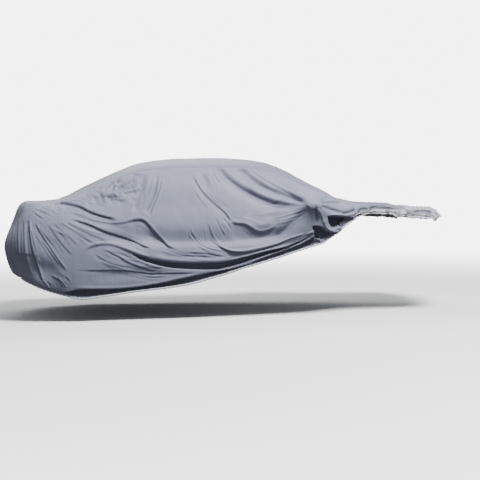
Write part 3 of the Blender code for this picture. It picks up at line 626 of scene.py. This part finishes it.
# routes on the top: how far from the nose, over the cloth, and y
topFolds = unpacked(foldUnits, [
    ("rear window 1", (6, 4, 18, 44, 30, 25, 30), (3120, -560, 3400, -420, 3700, -220)),
    ("rear window 2", (5, 3, 17, 39, 30, 25, 30), (3220, -580, 3500, -500, 3800, -400)),
    ("rear window 3", (6, 4, 18, 44, 30, 25, 30), (3140, 560, 3440, 400, 3760, 160)),
    ("rear window 4", (5, 3, 15, 39, 30, 25, 30), (3260, 580, 3520, 510, 3780, 420)),
    ("rear window foot", (7, 4, 21, 52, 30, 25, 25), (3800, -550, 3870, -250, 3880, 100, 3810, 520)),
    ("boot 1", (4, 2, 15, 36, 30, 30, 30), (3920, -500, 4050, -200, 4180, 50)),
    ("boot 2", (4, 2, 15, 36, 30, 30, 30), (3940, 480, 4040, 260, 4200, 120)),
    ("tail 1", (7, 5, 13, 39, 30, 20, 12), (4260, -500, 4500, -460, 4860, -500)),
    ("tail 2", (5, 4, 11, 34, 30, 25, 12), (4300, -330, 4560, -280, 4860, -300)),
    ("tail 3", (6, 4, 13, 39, 30, 30, 12), (4340, -80, 4580, -100, 4880, -60)),
    ("tail 4", (5, 4, 11, 36, 30, 25, 12), (4300, 140, 4550, 180, 4870, 160)),
    ("tail 5", (7, 4, 13, 39, 30, 22, 12), (4270, 370, 4520, 340, 4860, 380)),
    ("tail 6", (5, 3, 11, 31, 30, 25, 12), (4260, 520, 4500, 500, 4840, 530)),
    ("tail bumper", (6, 4, 17, 65, 30, 25, 25), (4660, -550, 4700, 0, 4660, 550)),
    ("windscreen 1", (6, 4, 18, 44, 30, 25, 30), (1700, -550, 1450, -440, 1160, -200)),
    ("windscreen 2", (5, 3, 17, 39, 30, 25, 30), (1580, -600, 1360, -550, 1120, -460)),
    ("windscreen 3", (6, 4, 18, 44, 30, 25, 30), (1720, 540, 1480, 400, 1180, 120)),
    ("windscreen 4", (5, 3, 15, 39, 30, 25, 30), (1600, 600, 1380, 560, 1100, 500)),
    ("windscreen foot", (6, 4, 18, 52, 30, 25, 25), (1100, -580, 1030, -200, 1040, 200, 1110, 580)),
    ("roof 1", (2, 1, 25, 58, 30, 30, 30), (1900, -440, 2400, -360, 2900, -420)),
    ("roof 2", (2, 1, 25, 58, 30, 30, 30), (1950, 400, 2350, 300, 2850, 380)),
    ("roof 3", (2, 1, 28, 65, 30, 30, 30), (2100, 50, 2500, -40, 2950, 20)),
    ("roof edge front", (4, 3, 11, 31, 30, 30, 30), (1720, -500, 1700, 0, 1720, 500)),
    ("bonnet 1", (5, 5, 13, 34, 30, 25, 25), (760, -520, 700, -100, 780, 480)),
    ("bonnet 2", (7, 5, 11, 31, 30, 25, 25), (600, -500, 550, 0, 580, 500)),
    ("bonnet 3", (7, 5, 10, 29, 30, 20, 20), (440, -500, 410, -160, 460, 200, 420, 500)),
    ("bonnet 4", (7, 5, 10, 26, 30, 20, 20), (300, -460, 260, -100, 310, 240, 280, 480)),
    ("bonnet 5", (6, 5, 8, 23, 30, 20, 20), (170, -460, 150, 50, 180, 460)),
])
topRolls = ((2.10, 0.016, 0.050), (1.92, 0.014, 0.050), (1.70, 0.010, 0.060))    # x, height, half width

pressFar, _, paintedShadeFar = pressFolds(seenFlat(farSide), farFolds + fineCreases(farFolds))
pressBillows(seenFlat(farSide), pressFar)
hemStartFar = np.interp(aboveHem(farSide), (0, hemFades["far"]), (0, 1))
bunchedFar = grown(farSide[..., 0], *bunch["side"])
roughFar = uneven(lumps, farSide, "far lumps") + bunchedFar * uneven(crumples, farSide, "far bunch")
pressFar = (pressFar * hemStartFar - roughFar) * edgeFade(farSide, *edges["far"]) - hemGathers(farSide)
farSide = (farSide - normalsOf(farSide) * pressFar[..., None]) * mirrorY
farPaintedShading = np.maximum(paintedFoldShading(pressFar), paintedShadeFar)

topRun = runLength(topSide, 0)[:, topSide.shape[1] // 2][:, None] + np.zeros(topSide.shape[:2])
pressTop, _, paintedShadeTop = pressFolds(np.stack([topRun, topSide[..., 1]], -1), topFolds + fineCreases(topFolds))
for x, height, halfWidth in topRolls:
    pressTop -= height * np.exp(-((topSide[..., 0] - x) / halfWidth) ** 2)
crushedTop = uneven(crumples, topSide, "top bunch")
roughTop = uneven(lumps, topSide, "top lumps") + grown(topSide[..., 0], *bunch["top"]) * crushedTop
insideTop = np.clip(np.sin(np.linspace(0, np.pi, topSide.shape[1])[None]), 0, 1) ** 0.5
insideTop = insideTop * ease(topRun[-1:] - topRun, edges["top"][1]) * ease(topRun, edges["top"][0])
pressTop = (pressTop - roughTop) * insideTop
topSide = topSide - normalsOf(topSide) * pressTop[..., None]
topPaintedShading = np.maximum(paintedFoldShading(pressTop), paintedShadeTop)
print("far side and top folded")


def feed(tree, socket, value):
    # links a socket to it, or sets its value
    if isinstance(value, bpy.types.NodeSocket):
        tree.links.new(value, socket)
    else:
        socket.default_value = value


def wire(tree, node, **values):
    for key, value in values.items():
        if hasattr(node, key):
            setattr(node, key, value)
        else:
            feed(tree, node.inputs[key.replace("_", " ")], value)
    return node


def place(tree, kind, **values):
    return wire(tree, tree.nodes.new(kind), **values)


def newMaterial(name):
    made = bpy.data.materials.new(name)
    made.use_nodes = True
    return made, made.node_tree, made.node_tree.nodes["Principled BSDF"]


def clouds(tree, where, scale, detail, roughness=0.5):
    return place(tree, "ShaderNodeTexNoise", Vector=where, Scale=scale, Detail=detail,
                 Roughness=roughness).outputs["Fac"]


def blend(tree, share, first, second):
    return place(tree, "ShaderNodeMix", data_type="RGBA", Factor=share, A=first, B=second).outputs["Result"]


def remap(tree, value, low, high, start=0.0, end=1.0, **settings):
    return place(tree, "ShaderNodeMapRange", Value=value, From_Min=low, From_Max=high, To_Min=start,
                 To_Max=end, **settings).outputs["Result"]


def calc(tree, operation, *parts):
    node = place(tree, "ShaderNodeMath", operation=operation)
    for socket, part in zip(node.inputs, parts):
        feed(tree, socket, part)
    return node.outputs[0]


def bump(tree, height, strength, distance, **under):
    return place(tree, "ShaderNodeBump", Height=height, Strength=strength, Distance=distance,
                 **under).outputs["Normal"]


nylon = {
    "sideColour": (0.192, 0.203, 0.270),
    # the top is darker than the side: painted shade, to even out the light from above
    "topColourPaintedShade": (0.155, 0.165, 0.216),
    # the casing is paler: painted light, so that it shows bright under the cloth's overhang
    "hemColourPaintedLight": (0.50, 0.52, 0.57),
    "dyeRange": (0.93, 1.06),                 # shares of the colour in the dye's patches
    "paintedFoldShade": (0.045, 0.050, 0.068, 1),   # painted shade deep in a fold
    "paintedRidgeHighlight": (0.36, 0.375, 0.44, 1),    # painted highlight where the cloth stands out
    "silver": (0.37, 0.39, 0.43, 1),          # the coated reverse that shows in the bunch
    "silverShare": 0.85,
    "paintedHighlightShare": 0.6,
    "paintedSlitShadow": (0.006, 0.007, 0.010, 1),   # painted shadow in the slits where two layers meet
    "slitShadowStart": 0.86,                        # the painted shade from which a crease turns to painted slit shadow
    "roughness": (0.48, 0.64),                # where it is less and more worn
    "sheen": 0.10,
    "sheenRoughness": 0.4,
    "specular": 0.26,
    # noise as scale, detail and roughness, and bumps as strength and depth
    "dyePatches": (2.6, 5.0, 0.62),
    "wear": (9.0, 4.0),
    "crinkles": (1.0, 4.0, 0.55),
    "crinkleStretch": (34.0, 16.0, 1.0),
    "crinkleBump": (0.34, 0.004),
    "wrinkles": {"Scale": 18.0, "Distortion": 9.0, "Detail": 3.0},
    "wrinklePatches": (1.7, 1.0),
    "wrinkleStart": (0.45, 0.65),             # the patches' noise where they begin and are full
    "wrinkleBump": (0.17, 0.002),
    "weavePitch": 0.0016,
    "weaveBump": (0.06, 0.0003),
}


def makeNylon(name, colour):
    made, tree, shader = newMaterial(name)
    where = place(tree, "ShaderNodeTexCoord").outputs["Object"]
    cut = place(tree, "ShaderNodeUVMap", uv_map="cut").outputs["UV"]
    inBunch, hollow = [place(tree, "ShaderNodeAttribute", attribute_name=key).outputs["Fac"]
                       for key in ("bunch", "hollow")]
    # dye that varies over the cloth, silver in the bunch, painted shade in the folds and slits, painted
    # highlight where the cloth stands out
    thin, strong = [tuple(share * c for c in colour) + (1,) for share in nylon["dyeRange"]]
    dyeAndPaintedShading = blend(tree, clouds(tree, where, *nylon["dyePatches"]), thin, strong)
    dyeAndPaintedShading = blend(tree, inBunch, dyeAndPaintedShading, nylon["silver"])
    dyeAndPaintedShading = blend(tree, remap(tree, hollow, 0.0, 1.0), dyeAndPaintedShading, nylon["paintedFoldShade"])
    dyeAndPaintedShading = blend(tree, remap(tree, hollow, nylon["slitShadowStart"], 1.0), dyeAndPaintedShading, nylon["paintedSlitShadow"])
    dyeAndPaintedShading = blend(tree, remap(tree, hollow, 0.0, -1.0, 0.0, nylon["paintedHighlightShare"]), dyeAndPaintedShading, nylon["paintedRidgeHighlight"])
    gloss = remap(tree, clouds(tree, where, *nylon["wear"]), 0.0, 1.0, *nylon["roughness"])
    # fine crinkles, stretched down the cloth, upright wrinkles that come and go, and a plain weave
    stretched = place(tree, "ShaderNodeMapping", Vector=cut, Scale=nylon["crinkleStretch"]).outputs["Vector"]
    crinkled = bump(tree, clouds(tree, stretched, *nylon["crinkles"]), *nylon["crinkleBump"])
    upright = place(tree, "ShaderNodeTexWave", Vector=cut, **nylon["wrinkles"]).outputs["Fac"]
    patchy = remap(tree, clouds(tree, where, *nylon["wrinklePatches"]), *nylon["wrinkleStart"])
    wrinkled = bump(tree, calc(tree, "MULTIPLY", upright, patchy), *nylon["wrinkleBump"], Normal=crinkled)
    weave = place(tree, "ShaderNodeTexChecker", Vector=cut, Scale=1 / nylon["weavePitch"]).outputs["Fac"]
    woven = bump(tree, weave, *nylon["weaveBump"], Normal=wrinkled)
    wire(tree, shader, Base_Color=dyeAndPaintedShading, Roughness=gloss, Normal=woven, Sheen_Weight=nylon["sheen"],
         Sheen_Roughness=nylon["sheenRoughness"], Specular_IOR_Level=nylon["specular"])
    return made


fleeceLook = {"noise": (260.0, 3.0, 0.7), "dark": (0.20, 0.205, 0.22, 1), "light": (0.30, 0.305, 0.32, 1),
              "roughness": 0.95, "specular": 0.15, "sheen": 0.35, "pile": (0.25, 0.001)}
threadLook = {"noise": (900.0, 1.0), "dark": (0.20, 0.21, 0.24, 1), "light": (0.34, 0.35, 0.39, 1),
              "roughness": 0.6, "specular": 0.5, "sheen": 0.0}


def makeFibre(name, look):
    made, tree, shader = newMaterial(name)
    where = place(tree, "ShaderNodeTexCoord").outputs["Object"]
    felt = clouds(tree, where, *look["noise"])
    wire(tree, shader, Base_Color=blend(tree, felt, look["dark"], look["light"]), Roughness=look["roughness"],
         Specular_IOR_Level=look["specular"], Sheen_Weight=look["sheen"])
    if "pile" in look:
        wire(tree, shader, Normal=bump(tree, felt, *look["pile"]))
    return made


# the top's nylon is darkened with painted shade
topNylonPaintedShade = makeNylon("topNylonPaintedShade", nylon["topColourPaintedShade"])
sideNylon = makeNylon("sideNylon", nylon["sideColour"])
# the hem's nylon is paled with painted light
hemNylonPaintedLight = makeNylon("hemNylonPaintedLight", nylon["hemColourPaintedLight"])
fleece = makeFibre("greyFleece", fleeceLook)
thread = makeFibre("greyThread", threadLook)


def inScene(name, data):
    made = bpy.data.objects.new(name, data)
    bpy.context.scene.collection.objects.link(made)
    return made


def deepestNear(press, reach):
    # the deepest pressing within a few cells
    wide = np.pad(press, reach, mode="edge")
    rows, columns = press.shape
    shifts = range(2 * reach + 1)
    return np.max([wide[i:i + rows, j:j + columns] for i in shifts for j in shifts], axis=0)


def makePanel(name, grid, press, hollow, silver, nylonKind):
    # the outer face and a lining at half the fineness, which follows the folds less closely; closed all
    # round, with the silver share and the painted shade and highlight as attributes
    # no painted highlight in the silver bunch
    hollow = np.maximum(hollow, silver - 1)
    rows, columns = grid.shape[:2]
    outward = normalsOf(grid)
    slack = np.minimum(deepestNear(press, 2) - press, cloth["liningSlack"])[..., None]
    lining = (grid - outward * (cloth["thickness"] + slack))[::2, ::2]
    index = np.arange(rows * columns).reshape(rows, columns)
    inner = rows * columns + np.arange(lining.shape[0] * lining.shape[1]).reshape(lining.shape[:2])
    faces, finish = [], []
    for net, kind in ((index, 0), (inner, 1)):
        quads = np.stack([net[:-1, :-1], net[:-1, 1:], net[1:, 1:], net[1:, :-1]], -1).reshape(-1, 4)
        faces += (quads[:, ::-1] if kind else quads).tolist()
        finish += [kind] * len(quads)
    fine, coarse = [np.concatenate([net[0, :-1], net[:-1, -1], net[-1, :0:-1], net[:0:-1, 0]])
                    for net in (index, inner)]
    a, b, c = fine[::2], fine[1::2], np.roll(fine[::2], -1)
    p, q = coarse, np.roll(coarse, -1)
    for rim in ((b, a, p), (c, b, q), (b, p, q)):
        faces += np.stack(rim, -1).tolist()
        finish += [0] * len(a)
    i, j = rows // 2, columns // 2
    if np.cross(grid[i, j + 1] - grid[i, j], grid[i + 1, j] - grid[i, j]) @ outward[i, j] < 0:
        faces = [face[::-1] for face in faces]
    mesh = bpy.data.meshes.new(name)
    mesh.from_pydata(np.concatenate([grid.reshape(-1, 3), lining.reshape(-1, 3)]).tolist(), [], faces)
    mesh.polygons.foreach_set("material_index", finish)
    mesh.shade_smooth()
    mesh.set_sharp_from_angle(angle=math.radians(80))
    corners = np.zeros(len(mesh.loops), int)
    mesh.loops.foreach_get("vertex_index", corners)

    def both(values):
        # the values of the outer face's points, then of the lining's
        return np.concatenate([values.reshape(-1), values[::2, ::2].reshape(-1)]).astype(np.float32)

    lengthAlong = runLength(grid, 0).mean(axis=1)[:, None] + 0 * hollow
    cut = np.stack([both(lengthAlong), both(runLength(grid, 1))], -1)
    mesh.uv_layers.new(name="cut").data.foreach_set("uv", cut[corners].reshape(-1))
    for key, values in (("hollow", hollow), ("bunch", silver)):
        mesh.attributes.new(key, "FLOAT", "POINT").data.foreach_set("value", both(values))
    mesh.materials.append(nylonKind)
    mesh.materials.append(fleece)
    return inScene(name, mesh)


# the silver's upper edge on a side, as all x and all h; x and length where it starts, where it is all
# over the side, and where it starts on the top
silverEdge = {"line": ((1.34, 1.41, 1.60, 1.80, 1.90), (0.920, 0.946, 0.954, 0.947, 0.96)),
              "start": (1.34, 0.05), "all": (1.80, 0.05), "top": (1.81, 0.03)}


def silverSide(points):
    # the silvery reverse shows in the bunch, below a line towards the nose
    x, h = points[..., 0], points[..., 2] + roofHeight
    below = ease(np.interp(x, *silverEdge["line"]) - h, 0.010) * grown(x, *silverEdge["start"])
    return nylon["silverShare"] * np.clip(below + grown(x, *silverEdge["all"]), 0, 1)


def silverTop(points):
    # on the top it starts at an uneven line
    y = points[..., 1]
    unevenLine = 0.030 * np.sin(6.5 * y + 0.6) + 0.018 * np.sin(15 * y + 2) + crushedTop
    return nylon["silverShare"] * grown(points[..., 0] + unevenLine, *silverEdge["top"])


sideClothRight = makePanel("sideClothRight", nearSide, pressIn, nearPaintedShading, silverSide(nearSide), sideNylon)
sideClothLeft = makePanel("sideClothLeft", farSide, pressFar, farPaintedShading, silverSide(farSide), sideNylon)
topCloth = makePanel("topCloth", topSide, pressTop, topPaintedShading, silverTop(topSide), topNylonPaintedShade)
panels = ((sideClothRight, "side_panel_right", "nylon_side"),
          (sideClothLeft, "side_panel_left", "nylon_side"),
          (topCloth, "top_panel", "nylon_top"))
print("panels made")

# hems and stitches, by Geometry Nodes
hem = {
    "radius": 0.0085,      # of the rolled casing round the elastic
    "outward": 0.004,      # how far it stands off the cloth's edge
    "below": 0.003,
    "ruffle": 0.20,        # share of the radius that its gathers add and take
    "ruffleScale": 62.0,   # gathers, as a noise scale
    "ringStep": 0.005,
    "stitchPitch": 0.009,
    "stitchLength": 0.0058,
    "stitchWidth": 0.0011,
}


def nodeTree(name, inputs):
    tree = bpy.data.node_groups.new(name, "GeometryNodeTree")
    tree.interface.new_socket("Geometry", in_out="INPUT", socket_type="NodeSocketGeometry")
    for label, value in inputs.items():
        kind = "NodeSocketFloat" if value else "NodeSocketMaterial"
        socket = tree.interface.new_socket(label, in_out="INPUT", socket_type=kind)
        if value:
            socket.default_value = value
    tree.interface.new_socket("Geometry", in_out="OUTPUT", socket_type="NodeSocketGeometry")
    return tree, tree.nodes.new("NodeGroupInput").outputs


def finishTree(tree, geometry, material):
    real = place(tree, "GeometryNodeRealizeInstances", Geometry=geometry).outputs["Geometry"]
    finish = place(tree, "GeometryNodeSetMaterial", Geometry=real, Material=material).outputs["Geometry"]
    place(tree, "NodeGroupOutput", Geometry=finish)
    return tree


def casingTree():
    # a tube along the path, with gathers as its radius
    tree, given = nodeTree("gatheredCasing", {"Radius": 0.005, "Ruffle": 0.2, "Ruffle Scale": 60.0,
                                              "Ring Step": 0.005, "Finish": None})
    rings = place(tree, "GeometryNodeResampleCurve", mode="LENGTH", Curve=given["Geometry"],
                  Length=given["Ring Step"]).outputs["Curve"]
    where = place(tree, "GeometryNodeInputPosition").outputs["Position"]
    centred = calc(tree, "SUBTRACT", clouds(tree, where, given["Ruffle Scale"], 1.0), 0.5)
    width = calc(tree, "MULTIPLY", calc(tree, "MULTIPLY_ADD", centred, given["Ruffle"], 1.0), given["Radius"])
    profile = place(tree, "GeometryNodeCurvePrimitiveCircle", Resolution=9, Radius=1.0).outputs["Curve"]
    tube = place(tree, "GeometryNodeCurveToMesh", Curve=rings, Profile_Curve=profile, Scale=width,
                 Fill_Caps=True)
    smooth = place(tree, "GeometryNodeSetShadeSmooth", Geometry=tube.outputs["Mesh"]).outputs["Geometry"]
    return finishTree(tree, smooth, given["Finish"])


def stitchTree():
    # one small thread after another along the path
    tree, given = nodeTree("stitchRow", {"Pitch": 0.009, "Length": 0.006, "Width": 0.001, "Finish": None})
    points = place(tree, "GeometryNodeCurveToPoints", mode="LENGTH", Curve=given["Geometry"],
                   Length=given["Pitch"])
    turn = place(tree, "FunctionNodeAlignRotationToVector", axis="X", Vector=points.outputs["Tangent"])
    bead = place(tree, "GeometryNodeMeshUVSphere", Segments=5, Rings=4, Radius=0.5)
    size = place(tree, "ShaderNodeCombineXYZ", X=given["Length"], Y=given["Width"], Z=given["Width"])
    laid = place(tree, "GeometryNodeInstanceOnPoints", Points=points.outputs["Points"],
                 Instance=bead.outputs["Mesh"], Rotation=turn.outputs["Rotation"],
                 Scale=size.outputs["Vector"])
    return finishTree(tree, laid.outputs["Instances"], given["Finish"])


def alongPath(name, paths, tree, values):
    # a plain mesh made by the tree along each path of points
    line = bpy.data.curves.new(name + "Path", "CURVE")
    line.dimensions = "3D"
    for path in paths:
        spline = line.splines.new("POLY")
        spline.points.add(len(path) - 1)
        spline.points.foreach_set("co", np.concatenate([path, np.ones((len(path), 1))], 1).reshape(-1))
    guide = inScene(name + "Path", line)
    grow = guide.modifiers.new("grow", "NODES")
    grow.node_group = tree
    for item in tree.interface.items_tree:
        if item.item_type == "SOCKET" and item.in_out == "INPUT" and item.name in values:
            grow[item.identifier] = values[item.name]
    ready = guide.evaluated_get(bpy.context.evaluated_depsgraph_get())
    mesh = bpy.data.meshes.new_from_object(ready)
    mesh.name = name
    bpy.data.objects.remove(guide)
    return inScene(name, mesh)


def lifted(grid, column, out=0.0):
    # a column of points on the cloth's outer face
    return grid[:, column] + normalsOf(grid)[:, column] * out


casing, stitches = casingTree(), stitchTree()
casingValues = {"Radius": hem["radius"], "Ruffle": 2 * hem["ruffle"], "Ruffle Scale": hem["ruffleScale"],
                "Ring Step": hem["ringStep"], "Finish": hemNylonPaintedLight}
stitchValues = {"Pitch": hem["stitchPitch"], "Length": hem["stitchLength"], "Width": hem["stitchWidth"],
                "Finish": thread}
farUnmirrored = farSide * mirrorY
hang = np.array([0, 0, -hem["below"]])
hemRight = lifted(nearSide, -1, hem["outward"]) + hang
hemLeft = (lifted(farUnmirrored, -1, hem["outward"]) + hang) * mirrorY
hemPaths = {"hemRight": hemRight, "hemLeft": hemLeft, "hemTail": topSide[-1], "hemNose": topSide[0]}
hemPieces = [alongPath(name, [path], casing, casingValues) for name, path in hemPaths.items()]
stitchPaths = {
    "seamStitchesRight": [lifted(nearSide, 1)],
    "seamStitchesLeft": [lifted(farUnmirrored, 1) * mirrorY],
    "seamStitchesTop": [lifted(topSide, 1), lifted(topSide, -2)],
    "hemStitchesRight": [lifted(nearSide, -4)],
    "hemStitchesLeft": [lifted(farUnmirrored, -3) * mirrorY],
}
seamStitches = [alongPath(name, paths, stitches, stitchValues) for name, paths in stitchPaths.items()]
print("hems and stitches made")

shot = {"place": (-0.51, -9.0, -0.462), "turn": 5.19, "down": 2.13, "roll": 0.85, "lens": 69.6}
camera = bpy.data.cameras.new("camera")
camera.lens = shot["lens"]
camera.sensor_width = 36
cameraPiece = inScene("camera", camera)
cameraPiece.location = shot["place"]
lookTurn, lookDown, lookRoll = [Matrix.Rotation(math.radians(angle), 4, axis) for angle, axis in (
    (-shot["turn"], "Z"), (90 - shot["down"], "X"), (-shot["roll"], "Z"))]
cameraPiece.rotation_euler = (lookTurn @ lookDown @ lookRoll).to_euler()
bpy.context.scene.camera = cameraPiece

studio = {
    "floorSize": 60,
    "floorUnder": (0.12, 0.12, 0.125, 1),    # what the floor sends back up
    "floorSeen": (0.90, 0.90, 0.90, 1),
    "floorPale": (2.5, 12.0),                # how far out the floor turns as pale as the backdrop
    "sky": (0.93, 0.96, 1.0, 1),
    "skyStrength": 0.39,
    "seenStrength": 6.0,
}
bpy.ops.mesh.primitive_plane_add(size=studio["floorSize"], location=(0, 0, -roofHeight))
floor = bpy.context.object
floor.name = "floor"
floorPaint, floorTree, floorShader = newMaterial("palePaint")
seenFloor = place(floorTree, "ShaderNodeLightPath").outputs["Is Camera Ray"]
floorTone = blend(floorTree, seenFloor, studio["floorUnder"], studio["floorSeen"])
wire(floorTree, floorShader, Base_Color=floorTone, Roughness=0.9, Specular_IOR_Level=0.1)
floorPlace = place(floorTree, "ShaderNodeTexCoord").outputs["Object"]
howFar = place(floorTree, "ShaderNodeVectorMath", operation="LENGTH")
feed(floorTree, howFar.inputs[0], floorPlace)
turning = remap(floorTree, howFar.outputs["Value"], *studio["floorPale"], interpolation_type="SMOOTHSTEP")
paleGlow = place(floorTree, "ShaderNodeEmission", Strength=studio["seenStrength"])
paleMix = place(floorTree, "ShaderNodeMixShader", Fac=calc(floorTree, "MULTIPLY", turning, seenFloor))
floorTree.links.new(floorShader.outputs["BSDF"], paleMix.inputs[1])
floorTree.links.new(paleGlow.outputs["Emission"], paleMix.inputs[2])
wire(floorTree, floorTree.nodes["Material Output"], Surface=paleMix.outputs["Shader"])
floor.data.materials.append(floorPaint)

world = bpy.data.worlds.new("studio")
world.use_nodes = True
worldTree = world.node_tree
sky = wire(worldTree, worldTree.nodes["Background"], Color=studio["sky"], Strength=studio["skyStrength"])
seenSky = place(worldTree, "ShaderNodeBackground", Color=(1, 1, 1, 1), Strength=studio["seenStrength"])
direct = place(worldTree, "ShaderNodeLightPath").outputs["Is Camera Ray"]
choose = place(worldTree, "ShaderNodeMixShader", Fac=direct)
worldTree.links.new(sky.outputs["Background"], choose.inputs[1])
worldTree.links.new(seenSky.outputs["Background"], choose.inputs[2])
wire(worldTree, worldTree.nodes["World Output"], Surface=choose.outputs["Shader"])
bpy.context.scene.world = world


def softLight(name, spot, target, size, watts):
    light = bpy.data.lights.new(name, "AREA")
    light.shape = "RECTANGLE"
    light.size, light.size_y = size
    light.energy = watts
    lamp = inScene(name, light)
    lamp.location = spot
    lamp.rotation_euler = (Vector(target) - Vector(spot)).to_track_quat("-Z", "Y").to_euler()


softLight("skyBox", (2.3, -4.2, 6.6), (0, -0.5, -0.6), (3.2, 2.4), 1900)
softLight("farBox", (-1, 5, 4.5), (0, 0, -0.4), (5, 3), 380)

for panel, node, slot in panels:
    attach(panel, "root")
    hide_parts(node)
for piece in hemPieces + seamStitches:
    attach(piece, "root")

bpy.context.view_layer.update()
for panel, _, _ in panels:
    print(panel.name, sum(len(face.vertices) - 2 for face in panel.data.polygons), "triangles")
